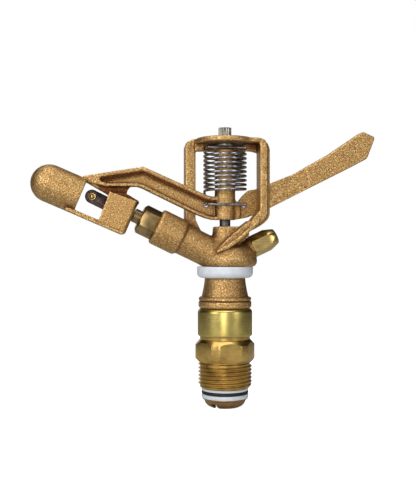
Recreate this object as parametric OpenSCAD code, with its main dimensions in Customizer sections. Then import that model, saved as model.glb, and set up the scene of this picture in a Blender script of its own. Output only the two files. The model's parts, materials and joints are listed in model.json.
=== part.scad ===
// Impact sprinkler with two nozzles: threaded inlet, sprung bearing, cast body
// with an arched bridge, and a spring-returned drive arm on a fulcrum pin.
// Millimetres. Z up the inlet's axis, zero at the seat under the hex. The main
// nozzle points to -X, the rear nozzle to +X.

/* [Node] */
// which sub-part to draw

/* [Inlet nipple] */
// outer radius of the 1 inch pipe thread
thread_r = 16.62; // [13:0.01:25]
// thread pitch, 11 to the inch
thread_pitch = 2.309; // [1.5:0.001:3]
// depth of the thread
thread_depth = 1.45; // [0.8:0.05:2]
// length of the threaded end below the hex
thread_l = 16.7; // [13:0.1:24]
// hex size across flats
hex_af = 34; // [31:0.5:44]
// hex height
hex_h = 13.6; // [10:0.1:20]
// radius of the neck the dust sleeve runs on
neck_r = 15.5; // [13:0.1:16.5]

/* [Bearing] */
// outer radius of the inlet tube
tube_r = 10; // [8:0.1:11]
// radius of the waterway in the tube
bore_r = 7.5; // [5:0.1:8]
// height of the tube's lower flange
flange_h = 5.8; // [4:0.1:9]
// outer radius of the tube's lower flange
flange_r = 14; // [12:0.1:16]
// outer radius of the bearing washers
washer_r = 14.5; // [12:0.1:16]
// thickness of the lower nylon washer
washer_a = 2.4; // [1:0.05:4]
// thickness of the rubber washer
washer_b = 2.15; // [1:0.05:4]
// thickness of the upper nylon washer
washer_c = 1.45; // [1:0.05:4]
// outer radius of the dust sleeve
sleeve_r = 16.9; // [16.4:0.1:18]
// height of the dust sleeve
sleeve_h = 17.2; // [14:0.1:26]
// bearing spring wire radius
bearing_wire_r = 0.9; // [0.5:0.05:1.1]
// turns of the bearing spring
bearing_turns = 3; // [2:1:4]

/* [Body] */
// radius of the band at the foot of the body
band_r = 16.4; // [15:0.1:17]
// height of the band
band_h = 7.1; // [5:0.1:10]
// height of the tapered neck
taper_h = 11.5; // [8:0.1:18]
// outer radius of the nylon collar ring
ring_r = 17.35; // [15:0.05:20]
// height of the nylon collar ring
ring_h = 7; // [4:0.1:10]
// largest radius of the bulb
bulb_r = 17.6; // [16:0.1:20]
// how far the bulb stands off the inlet's axis, towards the rear nozzle
bulb_x = 2.4; // [0:0.1:3]
// outer radius of the main branch
branch_r = 9.7; // [9.2:0.1:11]
// length of the main branch along its axis
branch_l = 47.8; // [42:0.1:60]
// elevation of the main branch in degrees
branch_elev = 26; // [22:1:30]
// length of the rear boss along its axis
rear_l = 18.7; // [17.5:0.1:24]
// elevation of the rear nozzle in degrees
rear_elev = 25; // [18:1:30]

/* [Bridge] */
// height from the pin boss to the underside of the bridge disc
bridge_h = 51.1; // [44:0.1:64]
// radius of the bridge disc
disc_r = 18.5; // [17:0.1:20]
// thickness of the bridge disc
disc_t = 3.4; // [2.5:0.1:5]
// distance of both legs from the pin, measured to their inner faces
leg_in = 17.8; // [17:0.1:22]

/* [Drive arm] */
// reach from the pin to the root of the spoon
arm_reach = 84.9; // [80:0.1:104]
// depth of the arm across its rims
arm_d = 6; // [5:0.1:8]
// radius of the spoon
spoon_r = 11.45; // [10:0.05:14]
// wall of the spoon
spoon_wall = 2; // [1.5:0.1:3]
// reach of the tail's corner behind the pin
tail_reach = 97.3; // [84:0.1:118]
// radius of the fulcrum pin
pin_r = 2.6; // [2.2:0.05:3]
// radius of the arm's hub
hub_r = 6.4; // [6:0.1:7]

/* [Arm spring] */
// mean radius of the coils
coil_r = 12.8; // [12:0.1:14]
// wire radius
coil_wire_r = 0.8; // [0.5:0.05:0.95]
// pitch of the coils
coil_pitch = 2.7; // [2.2:0.05:2.9]
// number of turns
coil_turns = 9; // [6:1:9]

/* [Nozzles] */
// main nozzle hex across flats
main_af = 16.2; // [15:0.1:18]
// main orifice radius
main_jet_r = 3.2; // [1.5:0.1:3.4]
// rear nozzle hex across flats
rear_af = 12; // [11:0.5:14]
// rear orifice radius
rear_jet_r = 1.5; // [0.8:0.1:2]

/* [Hidden] */
$fn = 64;
fit = 0.02;          // fixed fit, radial
run = 0.06;          // running fit, radial
press_travel = 1.5;  // how far the head can be pushed down
hex_r = hex_af / 2 / cos(30);
turned_r = hex_r - 1.23;
z_low = -thread_l - washer_a - washer_b - washer_c;    // top of the tube's flange
z_neck = hex_h + press_travel + 3.4;                   // top of the nipple
z_sleeve = hex_h + press_travel + 0.2;                 // foot of the dust sleeve
z_band = z_sleeve + sleeve_h;                          // foot of the body
seat_t = 1.5;
lid_t = 1.2;
z_taper = z_band + band_h;
z_ring = z_taper + taper_h;
z_bulb = z_ring + ring_h;
z_axis = z_bulb + 4;                                   // both nozzle axes cross here
z_boss = z_axis + 20.6;                                // top of the pin boss
lift = 4.2;                                            // spacer under the hub
z_arm = z_boss + lift;
z_disc = z_boss + bridge_h;
z_pin = z_disc + disc_t;
z_hub = z_disc - 3.2;
taper_foot_r = 14.2;
taper_top_r = 12.4;
ring_in_r = 12.2;
tube_top = z_band + 13.5;
shank_r = branch_r - 1.4;                              // main nozzle's thread
shank_l = 9;
straight_r = branch_r - 2.5;                           // branch waterway
rear_r = 7.1;
rear_shank_r = 4.8;
rear_shank_l = 9;
leg_x = leg_in + 6.4;
leg_y = arm_d / 2 + 0.05;                              // the arm rests on this face
rleg_y = -(arm_d / 2 + 0.2);
rleg_front = rleg_y - 10.8;
rib_turn = 3;                                          // the rib runs out on to the bulb
ax = arm_reach / 84.9;
tx = tail_reach / 97.3;
hook_z = z_arm + 9.3;
hook_x = coil_r * cos(20);
hook_y = coil_r * sin(20);
hook_front = hub_r + coil_wire_r + 0.25;
coil_z = z_arm + 17.7;
coil_top = coil_z + coil_turns * coil_pitch;
eye_z = z_disc - 2.8;
brass = [0.78, 0.62, 0.30];
bronze = [0.72, 0.54, 0.31];
steel = [0.62, 0.62, 0.63];
nylon = [0.86, 0.88, 0.88];

// a disc with a hole
module washer(r, hole, t) {
    difference() {
        cylinder(r = r, h = t);
        translate([0, 0, -1]) cylinder(r = hole, h = t + 2);
    }
}

// a plate drawn in X and Z, between two Y values
module slab(y0, y1) {
    translate([0, y1, 0]) rotate([90, 0, 0]) linear_extrude(y1 - y0) children();
}

// puts a child drawn up +Z along the main branch or the rear boss
module along_branch() {
    translate([0, 0, z_axis]) rotate([0, branch_elev - 90, 0]) children();
}
module along_rear() {
    translate([0, 0, z_axis]) rotate([0, 90 - rear_elev, 0]) children();
}

// a coil as half rings, each tilted so that its ends meet the next
module coil(r, w, pitch, turns) {
    tilt = asin(pitch / 4 / r);
    for (i = [0 : 2 * turns - 1])
        translate([0, 0, (i + 0.5) * pitch / 2])
            rotate([0, i % 2 == 0 ? -tilt : tilt, 0])
                rotate([0, 0, i % 2 == 0 ? 180 : 0])
                    rotate_extrude(angle = 180) translate([r, 0]) circle(r = w, $fn = 24);
}

// a straight wire between two points that differ along one axis
module wire_x(x0, x1, y, z, w) {
    translate([x0, y, z]) rotate([0, 90, 0]) cylinder(r = w, h = x1 - x0, $fn = 24);
}
module wire_y(x, y0, y1, z, w) {
    translate([x, y0, z]) rotate([-90, 0, 0]) cylinder(r = w, h = y1 - y0, $fn = 24);
}
module wire_z(x, y, z0, z1, w) {
    translate([x, y, z0]) cylinder(r = w, h = z1 - z0, $fn = 24);
}
module knuckle(x, y, z, w) {
    translate([x, y, z]) sphere(r = w * 1.06, $fn = 24);
}

// the pipe thread's profile as crests and grooves
module thread_profile() {
    n = floor((thread_l - 4.2) / thread_pitch);
    polygon(concat(
        [[tube_r + run, 0], [thread_r, 0], [thread_r, -1.6]],
        [for (i = [0 : n - 1]) for (k = [0 : 2])
            [k == 1 ? thread_r - thread_depth : thread_r,
             -1.6 - i * thread_pitch - k * (thread_pitch - 0.5) / 2]],
        [[thread_r, -1.6 - n * thread_pitch],
         [thread_r, -thread_l + 1.9], [thread_r - 1.8, -thread_l],
         [tube_r + run, -thread_l]]));
}

module threaded_nipple() color(brass) {
    rotate_extrude() thread_profile();
    difference() {
        intersection() {
            cylinder(r = hex_r, h = hex_h, $fn = 6);
            rotate_extrude() polygon([[0, 0], [turned_r - 1.7, 0], [turned_r, 2],
                [turned_r, hex_h - 3.3], [neck_r, hex_h], [0, hex_h]]);
        }
        translate([0, 0, -1]) cylinder(r = tube_r + run, h = hex_h + 2);
    }
    translate([0, 0, hex_h]) rotate_extrude() polygon([[tube_r + run, 0], [neck_r, 0],
        [neck_r, z_neck - hex_h - 0.6], [neck_r - 0.6, z_neck - hex_h],
        [tube_r + run, z_neck - hex_h]]);
}

module inlet_tube() color(bronze) {
    z0 = z_low - flange_h;
    difference() {
        rotate_extrude() polygon([[bore_r, z0], [flange_r - 4.6, z0], [flange_r - 2.6, z0 + 1.2],
            [flange_r - 0.5, z0 + 3.6], [flange_r, z_low - 0.8], [flange_r, z_low],
            [tube_r, z_low], [tube_r, tube_top - 1], [tube_r - 1, tube_top], [bore_r, tube_top]]);
        rotate([0, 0, 45]) translate([-flange_r - 1, -1.75, z0 - 1])
            cube([2 * flange_r + 2, 3.5, 4]);
    }
}

module lower_nylon_washer() color(nylon)
    translate([0, 0, z_low]) washer(washer_r, tube_r + run, washer_a);
module rubber_washer() color([0.05, 0.05, 0.06])
    translate([0, 0, z_low + washer_a]) washer(washer_r, tube_r + run, washer_b);
module upper_nylon_washer() color(nylon)
    translate([0, 0, z_low + washer_a + washer_b]) washer(washer_r, tube_r + run, washer_c);

module seat_washer() color(steel)
    translate([0, 0, z_neck]) washer(neck_r - 0.5, tube_r + 0.1, seat_t);

module bearing_spring() color(steel) {
    z0 = z_neck + seat_t + bearing_wire_r + 0.05;
    z1 = z_band - lid_t - bearing_wire_r - 0.05;
    translate([0, 0, z0])
        coil(tube_r + 2.8, bearing_wire_r, floor((z1 - z0) / bearing_turns * 20) / 20,
             bearing_turns);
}

module dust_sleeve() color(brass) {
    r = sleeve_r;
    w = r - (neck_r + 0.15);
    rotate_extrude() polygon([[tube_r + fit, z_band], [r - 3, z_band], [r - 1.5, z_band - 0.4],
        [r - 0.4, z_band - 1.5], [r, z_band - 3], [r, z_sleeve + 1.7],
        [r - 0.9, z_sleeve], [r - w, z_sleeve], [r - w, z_band - 2.4],
        [r - w - 1.2, z_band - lid_t], [tube_r + fit, z_band - lid_t]]);
}

// everything of the body that is turned about the inlet's axis
module body_turned() {
    rotate_extrude() polygon([[0, z_band], [band_r - 1.2, z_band], [band_r - 0.3, z_band + 1.2],
        [band_r, z_band + 3], [band_r, z_band + 4.6], [band_r - 0.5, z_taper - 0.9],
        [band_r - 1.5, z_taper], [taper_foot_r, z_taper + 0.4], [taper_top_r, z_ring],
        [ring_in_r, z_ring], [ring_in_r, z_bulb + 1], [0, z_bulb + 1]]);
    translate([bulb_x, 0, 0]) rotate_extrude() polygon([[0, z_bulb], [bulb_r - 2.2, z_bulb],
        [bulb_r - 0.9, z_bulb + 0.8], [bulb_r - 0.2, z_bulb + 2.2], [bulb_r, z_axis - 0.2],
        [bulb_r - 0.4, z_axis + 2.2], [bulb_r - 1.6, z_axis + 4.8], [bulb_r - 3.8, z_axis + 7.6],
        [bulb_r - 6.8, z_axis + 10.4], [0, z_axis + 13]]);
}

// bridge: left leg behind the arm, right leg in front of the tail
module bridge() {
    top = z_disc + disc_t;
    leg_d = 8.9;
    slab(leg_y, leg_y + leg_d) polygon([[-leg_x + 2.5, z_axis + 16], [-leg_x, z_axis + 24],
        [-leg_x, top - 5], [-leg_x + 1.5, top - 1.5], [-leg_x + 5, top], [-9, top],
        [-9, z_disc], [-leg_in + 0.6, z_disc], [-leg_in, z_disc - 2],
        [-leg_in, z_axis + 25], [-leg_in + 2.4, z_axis + 20], [-leg_in + 6, z_axis + 14]]);
    slab(rleg_front, rleg_y) polygon([[leg_in + 1.4, z_disc - 2], [leg_in + 0.8, z_disc], [9, z_disc],
        [9, top - 0.3], [leg_in + 1.2, top - 0.6], [leg_in + 4.5, top - 1.8],
        [leg_in + 6, top - 5], [leg_in + 6, z_boss + 7.6], [leg_in + 5, z_boss + 5.1],
        [leg_in + 2.4, z_boss + 2.4], [leg_in - 0.6, z_boss + 0.9],
        [leg_in - 6, z_boss - 2], [leg_in - 3.4, z_boss + 4.3], [leg_in + 1.4, z_boss + 10]]);
    slab(rleg_front + 2, rleg_y) polygon([[leg_in + 5, top - 3.4], [leg_in + 6.4, top - 3.2],
        [leg_in + 8, top - 7], [leg_in + 8, z_boss + 6.9], [leg_in + 6.6, z_boss + 4.2],
        [leg_in + 4, z_boss + 1.7], [leg_in + 1, z_boss - 0.3], [leg_in - 4, z_boss - 2.8],
        [leg_in - 4, z_boss], [leg_in + 5, z_boss + 9]]);
    // the rib that carries the right leg down on to the body
    translate([leg_in + 5, 0, 0]) rotate([0, 0, rib_turn]) translate([-leg_in - 5, 0, 0])
        slab(rleg_front + 1.6, rleg_y + 1) polygon([[leg_in - 0.6, z_boss + 0.9],
            [leg_in - 7.8, z_boss - 5.2], [5, z_boss - 9.8], [-1.4, z_boss - 13.9],
            [-8.6, z_boss - 16.6], [-8.6, z_boss - 14.4], [1, z_boss - 5.2],
            [7, z_boss - 0.6], [12.4, z_boss + 3.6]]);
    // its raised front ridge
    translate([leg_in + 5, 0, 0]) rotate([0, 0, rib_turn]) translate([-leg_in - 5, 0, 0])
        slab(rleg_front - 0.4, rleg_front + 2.6) polygon([[leg_in - 0.6, z_boss + 1.2],
            [leg_in - 7.8, z_boss - 4.9], [5, z_boss - 9.5], [-1.4, z_boss - 13.6],
            [-8.6, z_boss - 16.4], [-8.6, z_boss - 14.8], [-1.4, z_boss - 10.6],
            [5, z_boss - 6.5], [leg_in - 7.8, z_boss - 1.9], [leg_in - 0.6, z_boss + 4.2]]);
    // gussets that run the pin boss on into the rib and the rear boss
    slab(-8.6, 6) polygon([[0, z_boss], [9.4, z_boss], [12.4, z_boss + 1.4],
        [leg_in - 4.6, z_axis + 15.1], [10, z_axis + 12], [0, z_axis + 8]]);
    slab(-11.2, -5) polygon([[3.4, z_boss - 4], [8.6, z_boss - 0.6], [12.4, z_boss + 0.8],
        [leg_in - 4.6, z_axis + 15.1], [10, z_axis + 12], [3, z_axis + 8]]);
    // webs under the disc with the spring's eyes
    slab(0.2, leg_y + 0.3) polygon([[-leg_in - 1, z_disc - 4.4], [-coil_r + 2.2, z_disc - 4.2],
        [-coil_r + 2.2, z_disc + 0.5], [-leg_in - 1, z_disc + 0.5]]);
    slab(rleg_y - 0.9, -0.6) polygon([[leg_in + 2.5, z_disc - 5.6], [leg_in - 1, z_disc - 4.6],
        [coil_r - 2.2, z_disc - 4.2], [coil_r - 2.2, z_disc + 0.5], [leg_in + 2.5, z_disc + 0.5]]);
    // the stiffening rib behind the hub, from the left leg along under the disc
    slab(7.4, 9.8) polygon([[-leg_in - 1, z_disc - 3.9], [14.6, z_disc - 3.9],
        [15.6, z_disc - 2.4], [15.6, z_disc + 0.5], [-leg_in - 1, z_disc + 0.5]]);
    translate([0, 0, z_disc]) cylinder(r = disc_r, h = disc_t - 0.8);
    translate([0, 0, z_disc + disc_t - 0.8]) cylinder(r1 = disc_r, r2 = disc_r - 1.2, h = 0.8);
}

module body_casting() color(bronze)
    difference() {
        union() {
            body_turned();
            along_branch() {
                cylinder(r = branch_r, h = branch_l - 1);
                translate([0, 0, branch_l - 17.8]) rotate_extrude() polygon([[0, 0],
                    [branch_r, 0], [branch_r + 1.6, 1.4], [branch_r + 1.6, 16.8],
                    [branch_r + 0.6, 17.8], [0, 17.8]]);
            }
            along_rear() cylinder(r1 = rear_r + 3, r2 = rear_r, h = rear_l);
            translate([0, 0, z_axis]) cylinder(r1 = 9, r2 = 7.5, h = z_boss - z_axis);
            bridge();
        }
        // seat for the collar ring, and a spot face for the rear nozzle's hex
        translate([0, 0, z_ring]) washer(ring_r + 0.3, ring_in_r, ring_h);
        along_rear() translate([0, 0, rear_l]) cylinder(r = rear_af / 2 + 1.4, h = 9);
        // waterways
        translate([0, 0, z_band - 1]) cylinder(r = tube_r + fit, h = tube_top - z_band + 1);
        cylinder(r = bore_r, h = z_axis + 1);
        along_branch() cylinder(r = straight_r, h = branch_l + 1);
        along_branch() translate([0, 0, branch_l - shank_l])
            cylinder(r = shank_r + fit, h = shank_l + 1);
        along_rear() cylinder(r = 2.2, h = rear_l);
        along_rear() translate([0, 0, rear_l - rear_shank_l])
            cylinder(r = rear_shank_r + fit, h = rear_shank_l + 1);
        // fulcrum pin: through the disc and into the boss
        translate([0, 0, z_boss - 7.4]) cylinder(r = pin_r + fit, h = bridge_h + disc_t + 10);
        // eyes for the upper end of the arm spring
        wire_y(-hook_x, -5, 9, eye_z, coil_wire_r + 0.35);
        wire_y(hook_x, -9, 5, eye_z, coil_wire_r + 0.35);
    }

module collar_ring() color(nylon)
    rotate_extrude() polygon([[ring_in_r + 0.05, z_ring + 0.02], [ring_r - 3, z_ring + 0.02],
        [ring_r - 1.1, z_ring + 1.1], [ring_r, z_ring + 3], [ring_r, z_bulb - 0.4],
        [ring_r - 0.4, z_bulb], [ring_in_r + 0.05, z_bulb]]);

module stream_straightener() color(nylon) along_branch()
    translate([0, 0, branch_l - shank_l - 22]) {
        washer(straight_r - 0.03, straight_r - 0.9, 21.9);
        intersection() {
            union() {
                translate([-straight_r, -0.4, 0]) cube([2 * straight_r, 0.8, 21.9]);
                translate([-0.4, -straight_r, 0]) cube([0.8, 2 * straight_r, 21.9]);
            }
            cylinder(r = straight_r - 0.4, h = 21.9);
        }
    }

module main_nozzle() color([0.56, 0.43, 0.26]) along_branch() {
    h = 11;
    difference() {
        union() {
            translate([0, 0, branch_l - shank_l]) cylinder(r = shank_r, h = shank_l + 0.5);
            translate([0, 0, branch_l]) intersection() {
                rotate([0, 0, 3]) cylinder(r = main_af / 2 / cos(30), h = h, $fn = 6);
                rotate_extrude() polygon([[0, 0], [main_af / 2 + 1.3, 0],
                    [main_af / 2 + 1.3, h - 1.6], [main_af / 2 - 0.6, h], [0, h]]);
            }
            translate([0, 0, branch_l + h]) cylinder(r = 4.3, h = 4.2);
        }
        translate([0, 0, branch_l - shank_l - 0.01])
            cylinder(r1 = straight_r - 0.8, r2 = main_jet_r, h = shank_l + h);
        translate([0, 0, branch_l + h - 0.1]) cylinder(r = main_jet_r, h = 6);
    }
}

module rear_nozzle() color(brass) along_rear() {
    h = 16.8;
    difference() {
        union() {
            translate([0, 0, rear_l - rear_shank_l + 1.5])
                cylinder(r = rear_shank_r, h = rear_shank_l - 1);
            translate([0, 0, rear_l]) intersection() {
                cylinder(r = rear_af / 2 / cos(30), h = h, $fn = 6);
                rotate_extrude() polygon([[0, 0], [rear_af / 2 + 0.4, 0], [rear_af / 2 + 0.9, 0.6],
                    [rear_af / 2 + 0.9, h - 6.5], [rear_af / 2 - 1.3, h], [0, h]]);
            }
        }
        translate([0, 0, rear_l - rear_shank_l]) cylinder(r = 2.6, h = rear_shank_l + h - 3);
        translate([0, 0, rear_l]) cylinder(r = rear_jet_r, h = h + 1);
    }
}

module rear_seal() color([0.08, 0.08, 0.08]) along_rear()
    translate([0, 0, rear_l - rear_shank_l + 0.1]) washer(rear_shank_r, 2.6, 1.4);

module fulcrum_pin() color(steel) {
    difference() {
        translate([0, 0, z_pin]) {
            cylinder(r = 4, h = 6.2);
            translate([0, 0, 6.2]) cylinder(r1 = 4, r2 = 3.4, h = 0.5);
        }
        for (i = [0 : 13]) rotate([0, 0, i * 360 / 14])
            translate([4.05, 0, z_pin + 0.6]) cylinder(r = 0.32, h = 7, $fn = 16);
    }
    translate([0, 0, z_boss - 7]) cylinder(r = pin_r, h = z_pin - z_boss + 7);
}

module hub_spacer() color([0.25, 0.25, 0.26])
    translate([0, 0, z_boss]) washer(pin_r + 0.75, pin_r + run, lift - 0.05);
module lower_bush() color(nylon)
    translate([0, 0, z_arm]) washer(pin_r + 1.8, pin_r + run, 12);
module upper_bush() color(nylon)
    translate([0, 0, z_hub - 12]) washer(pin_r + 1.8, pin_r + run, 12);
module nylon_hub_washer() color(nylon)
    translate([0, 0, z_hub]) washer(hub_r + 0.5, pin_r + run, 1.5);
module steel_hub_washer() color(steel)
    translate([0, 0, z_hub + 1.5]) washer(hub_r + 0.3, pin_r + run, 1.6);

// points of the arm are given from the pin and the hub's foot
module arm_beam() {
    slab(-arm_d / 2, arm_d / 2) translate([0, z_arm]) polygon([[-84.9 * ax - 3.6, 25.2],
        [-84.9 * ax, 26.1], [-52.5 * ax, 31.7], [-51 * ax, 32], [-49.5 * ax, 31.4],
        [-15.3, 16.6], [-11.5, 15], [-8, 14.3], [5, 14.3], [9, 8], [9, 0.6], [2.9, 0],
        [-8.3, 0], [-12.5, 1], [-16.6, 2.6], [-28.4, 7.9], [-51.5 * ax, 18.9],
        [-54.3 * ax, 19.8], [-73.6 * ax, 19.7], [-84.6 * ax - 1, 22.6],
        [-84.9 * ax - 3.6, 23.9]]);
}
// the channel's outline, with its upper edge brought down by drop
module arm_pocket(drop) {
    translate([0, z_arm]) polygon([[-77.2 * ax, 24.2 - drop / 2], [-76.2 * ax, 25.5 - drop],
        [-51 * ax, 29.7 - drop], [-16, 14.5 - drop], [-12, 12.8 - drop], [-8.5, 12.2 - drop],
        [-4, 12.2 - drop], [-4, 1.9], [-8, 1.9], [-12, 2.9],
        [-15.8, 4.4], [-27.6, 9.8], [-50.7 * ax, 20.9], [-54 * ax, 21.8], [-73 * ax, 21.6]]);
}
module tail() {
    slab(-1, arm_d / 2) translate([0, z_arm]) polygon([[4, 11], [8.7, 11.6], [9.6, 13.2],
        [11.4, 15.3], [14.8, 18.4], [19.9, 19.4], [29.9 * tx, 23.5], [45 * tx, 29.6],
        [52.1 * tx, 33.8], [66.4 * tx, 41.7], [87.8 * tx, 56], [89.9 * tx, 56.9],
        [97.3 * tx, 53.8], [97.3 * tx, 52.1], [92.9 * tx, 40.8], [91.8 * tx, 39.4],
        [80.9 * tx, 33.7], [52.1 * tx, 19.4], [29.2 * tx, 7.9], [19.8, 3.7],
        [12.7, 1.2], [4, 0.2]]);
    // the thicker, plain pad at its end
    slab(-1.7, -0.9) translate([0, z_arm]) polygon([[52.1 * tx, 33.6], [66.4 * tx, 41.5],
        [87.9 * tx, 55.8], [89.9 * tx, 56.6], [97.1 * tx, 53.6], [97.1 * tx, 52.2],
        [92.7 * tx, 41], [91.6 * tx, 39.6], [80.8 * tx, 33.9], [54 * tx, 20.6]]);
}
module deflector() {
    // front plate
    slab(-8, -5.2) translate([0, z_arm]) polygon([[-71.4 * ax, 16.2], [-53.9 * ax, 10.1],
        [-61.6 * ax, -7.8], [-62.6 * ax, -9], [-64.2 * ax, -9.4], [-78.6 * ax, -2.8]]);
    // roof and the web that hangs it from the beam
    slab(-5.6, 6.5) translate([0, z_arm]) polygon([[-71.4 * ax, 16.2], [-60.5 * ax, 14.9],
        [-53.9 * ax, 10.9], [-53.5 * ax, 9.4], [-54.6 * ax, 8.4], [-72 * ax, 14.2]]);
    slab(-2, arm_d / 2) translate([0, z_arm]) polygon([[-84.6 * ax - 1, 22.4],
        [-71.8 * ax, 14.6], [-62 * ax, 12], [-60.8 * ax, 15.6], [-60.2 * ax, 17.6],
        [-58 * ax, 20.4], [-84.6 * ax - 1, 24]]);
    // bottom bar
    slab(-8, 2.5) translate([0, z_arm]) polygon([[-61.6 * ax, -7.2], [-62.2 * ax, -9],
        [-64.2 * ax, -9.4], [-87 * ax, 0.4], [-90.9 * ax - 6.6, 5], [-90.9 * ax - 6.6, 6.8], [-90.9 * ax - 3, 6],
        [-87 * ax, 3.2], [-78 * ax, -0.6]]);
    // back lug that the strap is fixed to
    slab(4.9, 6.5) translate([0, z_arm]) polygon([[-71 * ax, 15.2], [-60 * ax, 11.8],
        [-61.6 * ax, 5], [-67 * ax, 5.4]]);
}
module spoon() {
    r = spoon_r;
    q = spoon_r - spoon_wall;
    len = 17;
    rim = 2.6;
    translate([-90.9 * ax, 1, z_arm + 14.5]) rotate([0, -67, 0]) rotate([0, 0, 180])
        rotate_extrude(angle = 180) difference() {
            union() {
                translate([0, -rim]) square([r, len + rim]);
                translate([0, len]) intersection() { circle(r = r); square([r, r]); }
            }
            translate([-1, -rim - 1]) square([q + 1, len + rim + 1]);
            translate([0, len - 0.01]) intersection() {
                circle(r = q);
                translate([-1, 0]) square([q + 1, q]);
            }
        }
}
module arm_casting() color(bronze)
    difference() {
        union() {
            difference() {
                union() {
                    arm_beam();
                    tail();
                    deflector();
                    spoon();
                }
                for (i = [0:3]) {
                    slab(-arm_d / 2 - 1, -arm_d / 2 + 0.6 + 0.5 * i) arm_pocket(i * 0.95);
                    slab(arm_d / 2 - 0.6 - 0.5 * i, arm_d / 2 + 1) arm_pocket(i * 0.95);
                }
            }
            translate([0, 0, z_arm]) cylinder(r = hub_r, h = z_hub - z_arm);
        }
        translate([0, 0, z_arm - 1]) cylinder(r = pin_r + 1, h = z_hub - z_arm + 2);
        translate([0, 0, z_arm - 1]) cylinder(r = pin_r + 1.8 + fit, h = 13);
        translate([0, 0, z_hub - 12]) cylinder(r = pin_r + 1.8 + fit, h = 13);
        wire_y(-hook_x, -5, 9, hook_z, coil_wire_r + 0.6);
        wire_y(hook_x, -9, 9, hook_z, coil_wire_r + 0.6);
    }

module arm_spring() color(steel) {
    w = coil_wire_r;
    rotate([0, 0, -20]) translate([0, 0, coil_z]) coil(coil_r, w, coil_pitch, coil_turns);
    // lower end: down behind the arm, through it, across the hub and back
    knuckle(-hook_x, hook_y, coil_z, w);
    wire_z(-hook_x, hook_y, hook_z, coil_z, w);
    knuckle(-hook_x, hook_y, hook_z, w);
    wire_y(-hook_x, -hook_front, hook_y, hook_z, w);
    knuckle(-hook_x, -hook_front, hook_z, w);
    wire_x(-hook_x, hook_x, -hook_front, hook_z, w);
    knuckle(hook_x, -hook_front, hook_z, w);
    wire_y(hook_x, -hook_front, hook_y, hook_z, w);
    // upper end: the same through the webs of the bridge
    knuckle(-hook_x, hook_y, coil_top, w);
    wire_z(-hook_x, hook_y, coil_top, eye_z, w);
    knuckle(-hook_x, hook_y, eye_z, w);
    wire_y(-hook_x, -hook_front - 0.5, hook_y, eye_z, w);
    knuckle(-hook_x, -hook_front - 0.5, eye_z, w);
    wire_x(-hook_x, hook_x, -hook_front - 0.5, eye_z, w);
    knuckle(hook_x, -hook_front - 0.5, eye_z, w);
    wire_y(hook_x, -hook_front - 0.5, 1.5, eye_z, w);
}

module vane_strap() color([0.12, 0.10, 0.11])
    translate([-81.5 * ax, 4.88, z_arm + 13.9]) rotate([90, 0, 0])
        difference() {
            union() {
                cylinder(r = 4.2, h = 1.2);
                rotate([0, 0, -branch_elev]) translate([0, -4.19, 0]) cube([20 * ax, 8.38, 1.2]);
            }
            translate([0, 0, -1]) cylinder(r = 1.22, h = 4);
        }
module vane_rivet() color(brass)
    translate([-81.5 * ax, 5.5, z_arm + 13.9]) rotate([90, 0, 0]) {
        cylinder(r = 2.1, h = 0.6);
        cylinder(r = 1.2, h = 2.6);
        translate([0, 0, 1.84]) cylinder(r1 = 2, r2 = 1.3, h = 1);
    }

threaded_nipple();
inlet_tube();
lower_nylon_washer();
rubber_washer();
upper_nylon_washer();
seat_washer();
bearing_spring();
dust_sleeve();
body_casting();
collar_ring();
stream_straightener();
main_nozzle();
rear_nozzle();
rear_seal();
fulcrum_pin();
hub_spacer();
lower_bush();
upper_bush();
nylon_hub_washer();
steel_hub_washer();
arm_casting();
arm_spring();
vane_strap();
vane_rivet();
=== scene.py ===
import json
import math

import bpy
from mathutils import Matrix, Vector

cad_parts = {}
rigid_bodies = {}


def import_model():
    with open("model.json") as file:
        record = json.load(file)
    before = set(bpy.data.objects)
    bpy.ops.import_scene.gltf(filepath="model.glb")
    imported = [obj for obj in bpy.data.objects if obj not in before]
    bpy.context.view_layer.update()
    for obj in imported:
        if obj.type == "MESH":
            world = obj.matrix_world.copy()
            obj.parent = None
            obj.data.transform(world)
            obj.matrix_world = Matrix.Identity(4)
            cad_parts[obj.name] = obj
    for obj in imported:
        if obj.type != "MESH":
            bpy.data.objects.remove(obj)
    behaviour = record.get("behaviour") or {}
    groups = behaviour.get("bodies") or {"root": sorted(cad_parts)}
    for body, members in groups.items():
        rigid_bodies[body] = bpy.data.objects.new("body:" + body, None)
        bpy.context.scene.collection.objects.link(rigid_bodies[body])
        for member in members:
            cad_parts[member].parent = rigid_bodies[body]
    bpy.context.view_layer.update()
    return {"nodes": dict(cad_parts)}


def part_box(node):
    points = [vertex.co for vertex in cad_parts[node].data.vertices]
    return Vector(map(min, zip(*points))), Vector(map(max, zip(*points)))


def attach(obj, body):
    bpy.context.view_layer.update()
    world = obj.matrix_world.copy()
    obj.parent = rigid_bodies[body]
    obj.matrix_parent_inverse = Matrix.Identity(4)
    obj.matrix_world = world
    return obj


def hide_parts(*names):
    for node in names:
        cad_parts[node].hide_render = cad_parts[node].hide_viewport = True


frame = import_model()
mm = 0.001

# ---------------------------------------------------------------- threaded nipple
# The fixed fitting that screws on to the riser: a turned brass bar with a pipe
# thread, a hexagon whose corners are turned off, and a plain neck for the sleeve.
thread_r, thread_core_r, pitch = 16.62 * mm, 15.25 * mm, 2.309 * mm
thread_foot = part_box("threaded_nipple")[0].z
neck_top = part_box("threaded_nipple")[1].z
hex_af, hex_top, neck_r = 34 * mm, 13.6 * mm, 15.5 * mm
tube_hole_r = 10.06 * mm


def pick(piece):
    """Leaves only this piece selected and active."""
    bpy.ops.object.select_all(action="DESELECT")
    piece.select_set(True)
    bpy.context.view_layer.objects.active = piece
    return piece


def arc(x, z, r, start, end, steps=8):
    """Points of a round stretch of an outline, angles in degrees."""
    turn = [math.radians(start + (end - start) * i / steps) for i in range(steps + 1)]
    return [(x + r * math.cos(a), z + r * math.sin(a)) for a in turn]


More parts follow.
